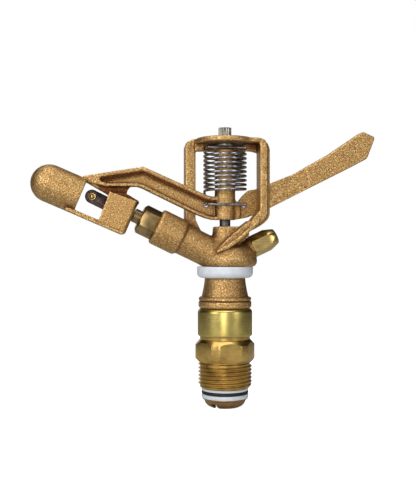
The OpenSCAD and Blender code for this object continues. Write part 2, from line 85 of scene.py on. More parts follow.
def outline(name, points, closed=True):
    """A line of edges through points given as (distance from the axis, height)."""
    bpy.ops.object.select_all(action="DESELECT")
    bpy.ops.mesh.primitive_plane_add(size=mm)
    piece = bpy.context.object
    piece.name = piece.data.name = name
    bpy.ops.object.mode_set(mode="EDIT")
    bpy.ops.mesh.select_mode(type="VERT")
    bpy.ops.mesh.select_all(action="SELECT")
    bpy.ops.mesh.merge(type="CENTER")
    bpy.ops.transform.translate(value=(points[0][0], 0, points[0][1]))
    path = points[1:] + (points[:1] if closed else [])
    at = points[0]
    for point in path:
        step = (point[0] - at[0], 0, point[1] - at[1])
        bpy.ops.mesh.extrude_region_move(TRANSFORM_OT_translate={"value": step})
        at = point
    bpy.ops.mesh.select_all(action="SELECT")
    bpy.ops.mesh.remove_doubles(threshold=1e-7)
    bpy.ops.object.mode_set(mode="OBJECT")
    return piece


def turned(name, points, steps=144):
    """A piece made on a lathe: the outline spun once round the Z axis."""
    piece = outline(name, points)
    bpy.ops.object.mode_set(mode="EDIT")
    bpy.ops.mesh.select_all(action="SELECT")
    bpy.ops.mesh.spin(steps=steps, angle=math.tau, center=(0, 0, 0), axis=(0, 0, 1))
    bpy.ops.mesh.select_all(action="SELECT")
    bpy.ops.mesh.remove_doubles(threshold=1e-6)
    bpy.ops.mesh.normals_make_consistent(inside=False)
    bpy.ops.object.mode_set(mode="OBJECT")
    return piece


def cut(piece, tool, operation="DIFFERENCE"):
    """One boolean step; the tool is used up."""
    pick(piece)
    step = piece.modifiers.new("cut", "BOOLEAN")
    step.operation, step.solver, step.object = operation, "EXACT", tool
    bpy.ops.object.modifier_apply(modifier=step.name)
    bpy.data.objects.remove(tool)
    return piece


def edges_broken(piece, width, segments=2, angle=30):
    """Breaks the sharp edges, as a file or a tumbler does."""
    pick(piece)
    step = piece.modifiers.new("edges", "BEVEL")
    step.width, step.segments, step.limit_method = width, segments, "ANGLE"
    step.angle_limit = math.radians(angle)
    step.use_clamp_overlap = True
    bpy.ops.object.modifier_apply(modifier=step.name)
    return piece


def hexagon(name, across_flats, bottom, top, turn=0):
    """A plain six-sided bar up the Z axis, turned by an angle in degrees."""
    bpy.ops.object.select_all(action="DESELECT")
    bpy.ops.mesh.primitive_cylinder_add(
        vertices=6, radius=across_flats / 2 / math.cos(math.pi / 6), depth=top - bottom,
        location=(0, 0, (top + bottom) / 2), rotation=(0, 0, math.radians(turn)))
    piece = bpy.context.object
    piece.name = piece.data.name = name
    bpy.ops.object.transform_apply(location=True, rotation=True, scale=True)
    return piece


def fitted(piece, body, material, nodes=(), angle=32):
    """Shades a finished piece and ties it to its body and its CAD nodes."""
    pick(piece)
    bpy.ops.object.shade_smooth_by_angle(angle=math.radians(angle))
    piece.data.materials.clear()
    piece.data.materials.append(material)
    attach(piece, body)
    if nodes:
        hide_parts(*nodes)
    return piece


def metal(name, colour, roughness, metallic=1.0):
    """A plain metal to which each finish adds its own grain. Returns its parts."""
    material = bpy.data.materials.new(name)
    material.use_nodes = True
    nodes, links = material.node_tree.nodes, material.node_tree.links
    shader = nodes["Principled BSDF"]
    shader.inputs["Base Color"].default_value = (*colour, 1)
    shader.inputs["Roughness"].default_value = roughness
    shader.inputs["Metallic"].default_value = metallic
    place = nodes.new("ShaderNodeTexCoord").outputs["Object"]
    return material, nodes, links, shader, place


def noise(nodes, links, place, scale, detail=3.0, stretch=None, roughness=0.55):
    """A cloudy value of 0 to 1 over the piece, drawn out along an axis if asked."""
    if stretch:
        mapping = nodes.new("ShaderNodeMapping")
        mapping.inputs["Scale"].default_value = stretch
        links.new(place, mapping.inputs["Vector"])
        place = mapping.outputs["Vector"]
    texture = nodes.new("ShaderNodeTexNoise")
    texture.inputs["Scale"].default_value = scale
    texture.inputs["Detail"].default_value = detail
    texture.inputs["Roughness"].default_value = roughness
    links.new(place, texture.inputs["Vector"])
    return texture.outputs["Fac"]


def ramp(nodes, links, value, stops):
    """Colours or greys against a value; stops are (place, colour)."""
    node = nodes.new("ShaderNodeValToRGB")
    line = node.color_ramp
    while len(line.elements) < len(stops):
        line.elements.new(0.5)
    for element, (at, colour) in zip(line.elements, stops):
        element.position = at
        element.color = (*colour, 1) if len(colour) == 3 else colour
    links.new(value, node.inputs["Fac"])
    return node.outputs["Color"]


def bump(nodes, links, shader, value, distance, strength=1.0, under=None):
    """Raises the surface by a value; a second bump can lie on a first."""
    node = nodes.new("ShaderNodeBump")
    node.inputs["Distance"].default_value = distance
    node.inputs["Strength"].default_value = strength
    links.new(value, node.inputs["Height"])
    if under:
        links.new(under, node.inputs["Normal"])
    links.new(node.outputs["Normal"], shader.inputs["Normal"])
    return node.outputs["Normal"]


def machined_brass(name, light, dark, roughness, line=0.25):
    """Brass turned on a lathe: faint rings round the Z axis and cloudy tarnish."""
    material, nodes, links, shader, place = metal(name, light, roughness)
    tarnish = noise(nodes, links, place, 140, 4)
    colour = ramp(nodes, links, tarnish, [(0.3, dark), (0.62, light)])
    links.new(colour, shader.inputs["Base Color"])
    rings = noise(nodes, links, place, 1, 2, stretch=(60, 60, 5200))
    dull = ramp(nodes, links, rings, [(0.3, (roughness + 0.1,) * 3), (0.7, (roughness - 0.05,) * 3)])
    links.new(dull, shader.inputs["Roughness"])
    bump(nodes, links, shader, rings, 0.03 * mm, line)
    return material


nipple_brass = machined_brass("nipple_brass", (0.60, 0.40, 0.12), (0.38, 0.235, 0.065), 0.27)

nipple = turned("threaded_nipple_visual", [
    (tube_hole_r, thread_foot), (thread_r - 1.9 * mm, thread_foot),
    (thread_core_r, thread_foot + 0.5 * mm), (thread_core_r, -1.5 * mm),
    (thread_r - 0.2 * mm, -0.5 * mm), (thread_r - 0.2 * mm, 1 * mm),
    (thread_core_r, 1.4 * mm), (thread_core_r, hex_top - 1 * mm), (neck_r, hex_top - 1 * mm),
    (neck_r, neck_top - 0.6 * mm), (neck_r - 0.6 * mm, neck_top), (tube_hole_r, neck_top)])
turns = 6.6
ridge = outline("thread_ridge", [
    (thread_core_r - 0.25 * mm, -pitch * 0.47), (thread_r, -pitch * 0.09),
    (thread_r, pitch * 0.09), (thread_core_r - 0.25 * mm, pitch * 0.47)])
lead = ridge.modifiers.new("lead", "SCREW")
lead.axis, lead.angle, lead.screw_offset = "Z", math.tau * turns, pitch * turns
lead.steps = lead.render_steps = int(96 * turns)
bpy.ops.object.modifier_apply(modifier=lead.name)
bpy.ops.object.mode_set(mode="EDIT")
bpy.ops.mesh.select_all(action="SELECT")
bpy.ops.mesh.fill_holes(sides=6)
bpy.ops.mesh.select_all(action="SELECT")
bpy.ops.mesh.normals_make_consistent(inside=False)
bpy.ops.transform.translate(value=(0, 0, thread_foot - 0.3 * mm))
bpy.ops.object.mode_set(mode="OBJECT")
thread_envelope = turned("thread_envelope", [
    (thread_core_r - 1 * mm, thread_foot), (thread_r - 1.9 * mm, thread_foot),
    (thread_r, thread_foot + 2.3 * mm), (thread_r + 1 * mm, thread_foot + 3 * mm),
    (thread_r + 1 * mm, -1.2 * mm), (thread_r - 0.6 * mm, -0.6 * mm),
    (thread_core_r - 1 * mm, -0.6 * mm)])
cut(ridge, thread_envelope, "INTERSECT")
nut = hexagon("nipple_hexagon", hex_af, 0, hex_top, turn=30)
nut_turning = turned("nut_turning", [
    (tube_hole_r + 2 * mm, 0), (thread_r + 0.3 * mm, 0), (18.4 * mm, 1.7 * mm),
    (18.4 * mm, hex_top - 3.3 * mm), (neck_r - 0.05 * mm, hex_top), (tube_hole_r + 2 * mm, hex_top)])
cut(nut, nut_turning, "INTERSECT")
edges_broken(nut, 0.22 * mm)
cut(nipple, nut, "UNION")
cut(nipple, ridge, "UNION")
fitted(nipple, "riser_fitting", nipple_brass, ["threaded_nipple"], angle=28)

# ---------------------------------------------------------------- inlet tube
# The bronze tube that turns inside the nipple and screws up into the body. Its
# coned foot holds the washers, and a slot across it takes a spanner.
tube_foot, tube_top = (corner.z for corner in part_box("inlet_tube"))
flange_top, flange_r, tube_r, bore_r = -22.7 * mm, 14 * mm, 10 * mm, 7.5 * mm
turned_bronze = machined_brass("turned_bronze", (0.38, 0.24, 0.10), (0.22, 0.13, 0.055), 0.34, 0.35)
inlet_tube = turned("inlet_tube_visual",
    [(bore_r, tube_foot), (flange_r - 5.2 * mm, tube_foot)]
    + arc(flange_r - 6.4 * mm, tube_foot + 5.4 * mm, 5.4 * mm, -62, -12, 8)
    + [(flange_r - 0.5 * mm, flange_top - 1 * mm), (flange_r, flange_top - 0.6 * mm),
       (flange_r, flange_top), (tube_r, flange_top), (tube_r, tube_top - 1 * mm),
       (tube_r - 1 * mm, tube_top), (bore_r, tube_top)])
bpy.ops.object.select_all(action="DESELECT")
bpy.ops.mesh.primitive_cube_add(size=1, location=(0, 0, tube_foot + 1.2 * mm),
                                rotation=(0, 0, math.radians(45)), scale=(40 * mm, 3.5 * mm, 3.6 * mm))
bpy.ops.object.transform_apply(location=True, rotation=True, scale=True)
cut(inlet_tube, bpy.context.object)
edges_broken(inlet_tube, 0.15 * mm)
fitted(inlet_tube, "head", turned_bronze, ["inlet_tube"])

# ---------------------------------------------------------------- bearing washers
# Two white nylon rings with a rubber one between them, on which the head turns.
# They are pressed up against the nipple's foot by the bearing spring.


def plastic(name, colour, roughness, grain=0.02, soft=0.0):
    """Moulded nylon or rubber: a cloudy tint, fine grain, and light let in if soft."""
    material, nodes, links, shader, place = metal(name, colour, roughness, 0.0)
    cloud = noise(nodes, links, place, 320, 4)
    edge = [channel * 0.9 for channel in colour]
    links.new(ramp(nodes, links, cloud, [(0.35, edge), (0.65, colour)]), shader.inputs["Base Color"])
    shader.inputs["Subsurface Weight"].default_value = soft
    shader.inputs["Subsurface Radius"].default_value = (1.0, 0.9, 0.8)
    shader.inputs["Subsurface Scale"].default_value = 1.5 * mm
    bump(nodes, links, shader, noise(nodes, links, place, 1800, 2), grain * mm, 0.5)
    return material


white_nylon = plastic("white_nylon", (0.66, 0.70, 0.74), 0.38, soft=0.15)
black_rubber = plastic("black_rubber", (0.004, 0.004, 0.008), 0.6, grain=0.05)
washer_hole_r = tube_r + 0.06 * mm
for washer, bulge, slot, material in (
        ("lower_nylon_washer", 0.35, "white_nylon", white_nylon),
        ("rubber_washer", 0.9, "black_rubber", black_rubber),
        ("upper_nylon_washer", 0.35, "white_nylon", white_nylon)):
    low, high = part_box(washer)
    edge = bulge * mm
    ring = turned(washer + "_visual", [(washer_hole_r, low.z)]
                  + arc(high.x - edge, low.z + edge, edge, -90, 0, 5)
                  + arc(high.x - edge, high.z - edge, edge, 0, 90, 5) + [(washer_hole_r, high.z)])
    fitted(ring, "head", material, [washer])

# ---------------------------------------------------------------- bearing spring and its seat
# A short steel compression spring inside the sleeve. It stands on a steel washer
# on the nipple's neck and lifts the head, so that the washers below stay tight.


def drawn_steel(name, light, dark, roughness):
    """Drawn wire or bar: long streaks, with a darker film in places."""
    material, nodes, links, shader, place = metal(name, light, roughness)
    film_and_shade = noise(nodes, links, place, 420, 5)
    links.new(ramp(nodes, links, film_and_shade, [(0.36, dark), (0.6, light)]), shader.inputs["Base Color"])
    streak = noise(nodes, links, place, 900, 2, stretch=(1, 1, 6))
    links.new(ramp(nodes, links, streak, [(0.3, (roughness + 0.12,) * 3), (0.7, (roughness,) * 3)]),
              shader.inputs["Roughness"])
    bump(nodes, links, shader, streak, 0.02 * mm, 0.3)
    return material


def wire(name, route, radius):
    """Round wire along a route of points, made a closed mesh tube."""
    line = bpy.data.curves.new(name, "CURVE")
    line.dimensions, line.bevel_depth, line.bevel_resolution = "3D", radius, 3
    line.use_fill_caps = True
    spline = line.splines.new("POLY")
    spline.points.add(len(route) - 1)
    for point, place in zip(spline.points, route):
        point.co = (*place, 1)
    piece = bpy.data.objects.new(name, line)
    bpy.context.collection.objects.link(piece)
    pick(piece)
    bpy.ops.object.convert(target="MESH")
    bpy.ops.object.mode_set(mode="EDIT")
    bpy.ops.mesh.select_all(action="SELECT")
    bpy.ops.mesh.remove_doubles(threshold=1e-7)
    bpy.ops.mesh.normals_make_consistent(inside=False)
    bpy.ops.object.mode_set(mode="OBJECT")
    return bpy.context.object


def helix(radius, foot, rise, turns, start):
    """Points of a coil that climbs by rise in each turn."""
    steps = int(turns * 48)
    return [Vector((radius * math.cos(start + math.tau * turns * i / steps),
                    radius * math.sin(start + math.tau * turns * i / steps),
                    foot + rise * turns * i / steps)) for i in range(steps + 1)]


spring_steel = drawn_steel("spring_steel", (0.42, 0.42, 0.44), (0.13, 0.125, 0.13), 0.17)
low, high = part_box("bearing_spring")
bearing_wire = 0.9 * mm
bearing_coil_r = high.x - bearing_wire
lift = high.z - low.z - 2 * bearing_wire
bearing_spring = wire("bearing_spring_visual", helix(
    bearing_coil_r, low.z + bearing_wire, lift / 3, 3, math.pi), bearing_wire)
fitted(bearing_spring, "head", spring_steel, ["bearing_spring"], angle=80)
low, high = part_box("seat_washer")
seat = turned("seat_washer_visual", [(tube_r + 0.1 * mm, low.z), (high.x - 0.2 * mm, low.z),
    (high.x, low.z + 0.2 * mm), (high.x, high.z - 0.2 * mm), (high.x - 0.2 * mm, high.z),
    (tube_r + 0.1 * mm, high.z)])
fitted(seat, "spring_seat", spring_steel, ["seat_washer"])

# ---------------------------------------------------------------- dust sleeve
# A thin polished brass cup that covers the spring. Its lid is clamped between the
# spring and the body, and its rim is rolled in over the nipple's neck.
sleeve_foot, sleeve_top = (corner.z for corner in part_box("dust_sleeve"))
sleeve_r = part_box("dust_sleeve")[1].x
sleeve_in, lid = neck_r + 0.15 * mm, 1.2 * mm
sleeve_brass = machined_brass("sleeve_brass", (0.54, 0.43, 0.135), (0.42, 0.325, 0.095), 0.3, 0.12)
sleeve = turned("dust_sleeve_visual",
    [(tube_r + 0.02 * mm, sleeve_top - lid), (sleeve_in - 1.6 * mm, sleeve_top - lid)]
    + arc(sleeve_in - 1.6 * mm, sleeve_top - lid - 1.6 * mm, 1.6 * mm, 80, 0, 5)
    + [(sleeve_in, sleeve_foot), (sleeve_r - 0.8 * mm, sleeve_foot)]
    + arc(sleeve_r - 1.1 * mm, sleeve_foot + 1.1 * mm, 1.1 * mm, -60, 0, 6)
    + [(sleeve_r, sleeve_foot + 1.9 * mm)]
    + arc(sleeve_r - 2.6 * mm, sleeve_top - 2.6 * mm, 2.6 * mm, 0, 90, 10)
    + [(tube_r + 0.02 * mm, sleeve_top)], steps=160)
fitted(sleeve, "head", sleeve_brass, ["dust_sleeve"], angle=50)

# ---------------------------------------------------------------- body casting
# One bronze sand casting: the tapered neck and bulb, the branch for the main
# nozzle, the rear boss, the pin boss, and the bridge that holds the pin's top.


def cast_bronze(name, painted_shade_place=None):
    """Sand-cast bronze, bead-blasted: bright flecks, a painted highlight on sharp edges that is partly
    rubbed wear, and painted shade, a dark red-brown, in creases and hollows.

    The last argument gives the painted shade more places, as a value of 0 to 1."""
    light, middle, dark = (1.0, 0.79, 0.41), (0.47, 0.265, 0.088), (0.10, 0.044, 0.016)
    # The colour of the painted shade in hollows.
    film_and_shade = (0.11, 0.036, 0.012)
    material, nodes, links, shader, place = metal(name, middle, 0.38, 0.92)
    grain = noise(nodes, links, place, 1250, 2, roughness=0.7)
    fleck = ramp(nodes, links, grain, [(0.34, dark), (0.46, middle), (0.54, middle), (0.68, light)])
    cloud = ramp(nodes, links, noise(nodes, links, place, 90, 4),
                 [(0.3, (0.33, 0.185, 0.068)), (0.7, middle)])
    mix = nodes.new("ShaderNodeMix")
    mix.data_type = "RGBA"
    mix.inputs["Factor"].default_value = 0.72
    links.new(cloud, mix.inputs["A"])
    links.new(fleck, mix.inputs["B"])
    # Painted light by curvature: sharp edges lighter, past white, as a painted highlight that is partly
    # rubbed wear; creases darker as painted shade.
    edge = ramp(nodes, links, nodes.new("ShaderNodeNewGeometry").outputs["Pointiness"],
                [(0.44, (0.35, 0.24, 0.18)), (0.5, (0.92, 0.92, 0.92)), (0.56, (1.3, 1.4, 1.5))])
    edge_wear_highlight_crease_shade = nodes.new("ShaderNodeMix")
    edge_wear_highlight_crease_shade.data_type, edge_wear_highlight_crease_shade.blend_type = "RGBA", "MULTIPLY"
    edge_wear_highlight_crease_shade.inputs["Factor"].default_value = 1.0
    links.new(mix.outputs["Result"], edge_wear_highlight_crease_shade.inputs["A"])
    links.new(edge, edge_wear_highlight_crease_shade.inputs["B"])
    # Painted shade in hollows: where ambient occlusion finds the surface closed in, the colour goes
    # towards the near-black red-brown above.
    hollow_occlusion = nodes.new("ShaderNodeAmbientOcclusion")
    hollow_occlusion.samples, hollow_occlusion.only_local = 8, True
    hollow_occlusion.inputs["Distance"].default_value = 6.5 * mm
    open_to_light = nodes.new("ShaderNodeMapRange")
    open_to_light.inputs["From Min"].default_value, open_to_light.inputs["From Max"].default_value = 0.5, 0.95
    links.new(hollow_occlusion.outputs["AO"], open_to_light.inputs["Value"])
    painted_hollow_shade = nodes.new("ShaderNodeMix")
    painted_hollow_shade.data_type = "RGBA"
    links.new(open_to_light.outputs["Result"], painted_hollow_shade.inputs["Factor"])
    painted_hollow_shade.inputs["A"].default_value = (*film_and_shade, 1)
    links.new(edge_wear_highlight_crease_shade.outputs["Result"], painted_hollow_shade.inputs["B"])
    colour = painted_hollow_shade.outputs["Result"]
    # Painted shade in the given places: the colour is multiplied by a dark red-brown there.
    if painted_shade_place:
        painted_shade_tint = nodes.new("ShaderNodeMix")
        painted_shade_tint.data_type, painted_shade_tint.blend_type = "RGBA", "MULTIPLY"
        links.new(painted_shade_place(nodes, links, place), painted_shade_tint.inputs["Factor"])
        links.new(colour, painted_shade_tint.inputs["A"])
        painted_shade_tint.inputs["B"].default_value = (0.36, 0.21, 0.16, 1)
        colour = painted_shade_tint.outputs["Result"]
    links.new(colour, shader.inputs["Base Color"])
    links.new(ramp(nodes, links, grain, [(0.3, (0.58,) * 3), (0.7, (0.36,) * 3)]),
              shader.inputs["Roughness"])
    coarse = noise(nodes, links, place, 520, 3)
    first = bump(nodes, links, shader, coarse, 0.12 * mm, 0.5)
    bump(nodes, links, shader, grain, 0.34 * mm, 0.9, under=first)
    return material


def casting(node, name, grid, passes, keep_above=None, cutters=(), blended=None):
    """Rounds a CAD shape all over as a casting is: remeshed finely, then relaxed.

    keep_above drops what lies under a height, cutters are taken out first, and
    blended picks the points that are smoothed again into broad fillets."""
    blend_passes = 45
    pick(frame["nodes"][node])
    bpy.ops.object.duplicate()
    piece = bpy.context.object
    piece.name = piece.data.name = name
    bpy.ops.object.parent_clear(type="CLEAR_KEEP_TRANSFORM")
    bpy.ops.object.mode_set(mode="EDIT")
    bpy.ops.mesh.select_all(action="SELECT")
    bpy.ops.mesh.remove_doubles(threshold=1e-6)
    if keep_above:
        bpy.ops.mesh.bisect(plane_co=(0, 0, keep_above), plane_no=(0, 0, 1), use_fill=True,
                            clear_inner=True)
    bpy.ops.object.mode_set(mode="OBJECT")
    for cutter in cutters:
        cut(piece, cutter)
    skin = piece.modifiers.new("skin", "REMESH")
    skin.mode, skin.voxel_size = "VOXEL", grid
    bpy.ops.object.modifier_apply(modifier=skin.name)
    relax = piece.modifiers.new("relax", "SMOOTH")
    relax.factor, relax.iterations = 0.5, passes
    bpy.ops.object.modifier_apply(modifier=relax.name)
    if blended:
        group = piece.vertex_groups.new(name="blend")
        group.add([v.index for v in piece.data.vertices if blended(v.co / mm)], 1.0, "REPLACE")
        relax = piece.modifiers.new("blend", "SMOOTH")
        relax.factor, relax.iterations, relax.vertex_group = 0.5, blend_passes, group.name
        bpy.ops.object.modifier_apply(modifier=relax.name)
        piece.vertex_groups.clear()
    return piece


bronze = cast_bronze("cast_bronze")
ring_foot, ring_top = (corner.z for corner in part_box("collar_ring"))
band_foot, band_r, neck_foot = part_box("body_casting")[0].z, 16.4 * mm, 39.6 * mm


blend_foot, blend_top, blend_left, blend_right = 59.3, 76, -25, 14.5
boss_left, boss_front, rib_foot = -8.5, -8.5, 64


def where_necks_meet(co):
    """The broad fillets where branch, bulb and rear boss meet, in mm. The rib is left sharp."""
    return (blend_foot < co.z < blend_top and blend_left < co.x < blend_right
            and (co.x < boss_left or co.z < rib_foot or co.y > boss_front))


body = casting("body_casting", "body_casting_visual", 0.55 * mm, 5, keep_above=ring_foot + 3 * mm,
               blended=where_necks_meet)
# the neck and its two-beaded foot, up to the middle of the ring that covers its end
neck = turned("body_neck",
    [(tube_r + 0.02 * mm, band_foot), (band_r - 1.4 * mm, band_foot)]
    + arc(band_r - 1.5 * mm, band_foot + 1.5 * mm, 1.5 * mm, -75, 0, 6)
    + arc(band_r - 0.7 * mm, band_foot + 3.6 * mm, 0.7 * mm, 10, 75, 4)
    + [(band_r - 0.8 * mm, band_foot + 4.4 * mm)]
    + arc(band_r - 1.3 * mm, band_foot + 5.7 * mm, 1.25 * mm, -50, 82, 8)
    + arc(band_r - 0.9 * mm, neck_foot + 0.6 * mm, 1.1 * mm, -110, -178, 5)
    + [(13.6 * mm, neck_foot + 4 * mm), (12.9 * mm, neck_foot + 8 * mm),
       (12.55 * mm, ring_foot - 0.4 * mm), (12.15 * mm, ring_foot + 0.1 * mm),
       (12.15 * mm, ring_foot + 5 * mm), (tube_r + 0.02 * mm, ring_foot + 5 * mm)],
    steps=180)
pick(neck)
body.select_set(True)
bpy.context.view_layer.objects.active = body
bpy.ops.object.join()
fitted(body, "head", bronze, ["body_casting"], angle=180)

# ---------------------------------------------------------------- collar ring
# A white nylon ring round the neck, close under the bulb. It is turned, and lies
# in a seat cut into the casting.
ring_r, ring_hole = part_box("collar_ring")[1].x, 12.25 * mm
collar_ring = turned("collar_ring_visual",
    [(ring_hole, ring_foot), (ring_r - 3.2 * mm, ring_foot)]
    + arc(ring_r - 3.2 * mm, ring_foot + 3.2 * mm, 3.2 * mm, -80, 0, 10)
    + arc(ring_r - 0.5 * mm, ring_top - 0.5 * mm, 0.5 * mm, 0, 90, 4) + [(ring_hole, ring_top)])
fitted(collar_ring, "head", white_nylon, ["collar_ring"], angle=50)

# ---------------------------------------------------------------- main nozzle and straightener
# A dull bronze nozzle with a hexagon, screwed into the branch, and behind it a
# nylon tube with crossed vanes that calms the water.
axis_z, branch_tilt, branch_l = 62.1 * mm, math.radians(26), 47.8 * mm


def set_along(piece, tilt, side):
    """Turns a piece drawn up the Z axis on to a nozzle's axis, on its side."""
    pick(piece)
    piece.rotation_euler = (0, side * (math.pi / 2 - tilt), 0)
    piece.location = (0, 0, axis_z)
    bpy.ops.object.transform_apply(location=True, rotation=True, scale=True)
    return piece


nozzle_bronze = machined_brass("nozzle_bronze", (0.38, 0.265, 0.115), (0.16, 0.10, 0.042), 0.32, 0.3)
nozzle_af, nozzle_hex_h, snout_r, jet_r = 16.2 * mm, 11 * mm, 4.3 * mm, 3.2 * mm
nozzle_turn = 33
shoulder, snout_end = branch_l + nozzle_hex_h, branch_l + nozzle_hex_h + 4.2 * mm
main_nozzle = turned("main_nozzle_visual", [
    (6.2 * mm, branch_l - 9 * mm), (8.0 * mm, branch_l - 9 * mm), (8.0 * mm, branch_l + 0.4 * mm),
    (snout_r, branch_l + 0.8 * mm), (snout_r, snout_end - 0.4 * mm), (snout_r - 0.4 * mm, snout_end),
    (jet_r, snout_end), (jet_r, shoulder - 1 * mm)], steps=96)
nut = hexagon("main_hexagon", nozzle_af, branch_l, shoulder, turn=nozzle_turn)
nut_turning = turned("main_turning", [
    (snout_r - 0.6 * mm, branch_l), (nozzle_af / 2 + 1.35 * mm, branch_l),
    (nozzle_af / 2 + 1.35 * mm, shoulder - 1.6 * mm), (nozzle_af / 2 - 0.7 * mm, shoulder),
    (snout_r - 0.6 * mm, shoulder)], steps=96)
cut(nut, nut_turning, "INTERSECT")
edges_broken(nut, 0.25 * mm)
cut(main_nozzle, nut, "UNION")
set_along(main_nozzle, branch_tilt, -1)
fitted(main_nozzle, "head", nozzle_bronze, ["main_nozzle"], angle=28)

vane_foot, vane_top, vane_r = branch_l - 31 * mm, branch_l - 9.1 * mm, 7.17 * mm
straightener = turned("stream_straightener_visual", [
    (vane_r - 0.9 * mm, vane_foot), (vane_r, vane_foot), (vane_r, vane_top),
    (vane_r - 0.9 * mm, vane_top)], steps=72)
for turn in (0, 90):
    bpy.ops.object.select_all(action="DESELECT")
    bpy.ops.mesh.primitive_cube_add(size=1, location=(0, 0, (vane_foot + vane_top) / 2),
                                    rotation=(0, 0, math.radians(turn)),
                                    scale=(2 * vane_r - 1 * mm, 0.8 * mm, vane_top - vane_foot - 0.4 * mm))
    bpy.ops.object.transform_apply(location=True, rotation=True, scale=True)
    cut(straightener, bpy.context.object, "UNION")
set_along(straightener, branch_tilt, -1)
fitted(straightener, "head", white_nylon, ["stream_straightener"])

# ---------------------------------------------------------------- rear nozzle
# A small bright brass nozzle whose hexagon ends in a cone, on a rubber seal. It
# waters the ground near the sprinkler.
rear_tilt, rear_l, rear_af, rear_h = math.radians(25), 18.7 * mm, 12 * mm, 16.8 * mm
rear_top = rear_l + rear_h
rear_brass = machined_brass("rear_nozzle_brass", (0.66, 0.48, 0.18), (0.46, 0.32, 0.11), 0.24, 0.2)
rear_nozzle = turned("rear_nozzle_visual", [
    (2.6 * mm, rear_l - 7.5 * mm), (4.7 * mm, rear_l - 7.5 * mm), (4.7 * mm, rear_l + 0.5 * mm),
    (4.5 * mm, rear_l + 1 * mm), (4.5 * mm, rear_top - 0.5 * mm), (1.5 * mm, rear_top - 0.5 * mm),
    (1.5 * mm, rear_top - 3 * mm), (2.6 * mm, rear_top - 4 * mm)], steps=96)
nut = hexagon("rear_hexagon", rear_af, rear_l, rear_top, turn=30)
nut_turning = turned("rear_turning", [
    (1.5 * mm, rear_l), (rear_af / 2 + 0.3 * mm, rear_l), (rear_af / 2 + 0.93 * mm, rear_l + 0.7 * mm),
    (rear_af / 2 + 0.93 * mm, rear_top - 6.2 * mm), (rear_af / 2 - 1.1 * mm, rear_top - 0.3 * mm),
    (rear_af / 2 - 1.4 * mm, rear_top), (1.5 * mm, rear_top)], steps=96)
cut(nut, nut_turning, "INTERSECT")
edges_broken(nut, 0.18 * mm)
cut(rear_nozzle, nut, "UNION")
set_along(rear_nozzle, rear_tilt, 1)
fitted(rear_nozzle, "head", rear_brass, ["rear_nozzle"], angle=28)
seal_foot = rear_l - 8.9 * mm
rear_seal = turned("rear_seal_visual", [(2.6 * mm, seal_foot)]
    + arc(4.3 * mm, seal_foot + 0.5 * mm, 0.5 * mm, -90, 0, 4)
    + arc(4.3 * mm, seal_foot + 0.9 * mm, 0.5 * mm, 0, 90, 4)
    + [(2.6 * mm, seal_foot + 1.4 * mm)], steps=72)
set_along(rear_seal, rear_tilt, 1)
fitted(rear_seal, "head", black_rubber, ["rear_seal"])

# ---------------------------------------------------------------- fulcrum pin, spacer and washers
# The plated steel pin that the arm swings on. Its serrated head is pressed into
# the bridge's disc and its foot screws into the boss under the arm.
pin_foot, pin_top = (corner.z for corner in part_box("fulcrum_pin"))
disc_top, pin_r, head_r = 137.2 * mm, 2.6 * mm, 4 * mm
pin_steel = drawn_steel("pin_steel", (0.32, 0.30, 0.26), (0.15, 0.14, 0.115), 0.3)
dark_steel = drawn_steel("spacer_steel", (0.10, 0.095, 0.09), (0.045, 0.04, 0.04), 0.34)
serrations = 18
bpy.ops.object.select_all(action="DESELECT")
bpy.ops.mesh.primitive_cylinder_add(vertices=serrations * 4, radius=head_r, depth=pin_top - disc_top,
                                    location=(0, 0, (pin_top + disc_top) / 2))
pin = bpy.context.object
pin.name = pin.data.name = "fulcrum_pin_visual"
bpy.ops.object.transform_apply(location=True, rotation=True, scale=True)
for vertex in pin.data.vertices:
    vertex.select = False
for edge in pin.data.edges:
    edge.select = False
for face in pin.data.polygons:
    face.select = face.normal.z > 0.9
bpy.ops.object.mode_set(mode="EDIT")
bpy.ops.mesh.select_mode(type="FACE")
bpy.ops.mesh.inset(thickness=0.45 * mm)
bpy.ops.object.mode_set(mode="OBJECT")
for vertex in pin.data.vertices:
    distance = math.hypot(vertex.co.x, vertex.co.y)
    turn = math.atan2(vertex.co.x, vertex.co.y) / math.tau * serrations * 4
    vertex.select = distance > head_r - 0.1 * mm and round(turn) % 4 in (0, 1)
for edge in pin.data.edges:
    edge.select = all(pin.data.vertices[v].select for v in edge.vertices)
for face in pin.data.polygons:
    face.select = False
bpy.ops.object.mode_set(mode="EDIT")
bpy.ops.mesh.select_mode(type="VERT")
bpy.ops.transform.resize(value=(0.9, 0.9, 1), center_override=(0, 0, 0))
bpy.ops.object.mode_set(mode="OBJECT")
edges_broken(pin, 0.12 * mm, 1, 40)
shaft = turned("pin_shaft", [
    (0.2 * mm, pin_foot), (pin_r - 0.4 * mm, pin_foot), (pin_r, pin_foot + 0.5 * mm),
    (pin_r, disc_top + 1 * mm), (0.2 * mm, disc_top + 1 * mm)], steps=48)
cut(pin, shaft, "UNION")
fitted(pin, "head", pin_steel, ["fulcrum_pin"], angle=35)


def plain_ring(name, body, material, edge=0.15 * mm):
    """A turned ring the size of its CAD node, with its corners broken."""
    low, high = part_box(name)
    hole = pin_r + 0.06 * mm
    ring = turned(name + "_visual", [(hole, low.z), (high.x - edge, low.z), (high.x, low.z + edge),
        (high.x, high.z - edge), (high.x - edge, high.z), (hole, high.z)], steps=72)
    return fitted(ring, body, material, [name])


plain_ring("hub_spacer", "head", dark_steel)
plain_ring("steel_hub_washer", "head", pin_steel, 0.3 * mm)
plain_ring("nylon_hub_washer", "drive_arm", white_nylon, 0.3 * mm)
plain_ring("lower_bush", "drive_arm", white_nylon)
plain_ring("upper_bush", "drive_arm", white_nylon)

# ---------------------------------------------------------------- drive arm
# The second bronze casting: hub, channelled beam, flat tail, the open deflector
# that the jet strikes, and the spoon that throws it sideways.
arm_level = 86.9 * mm


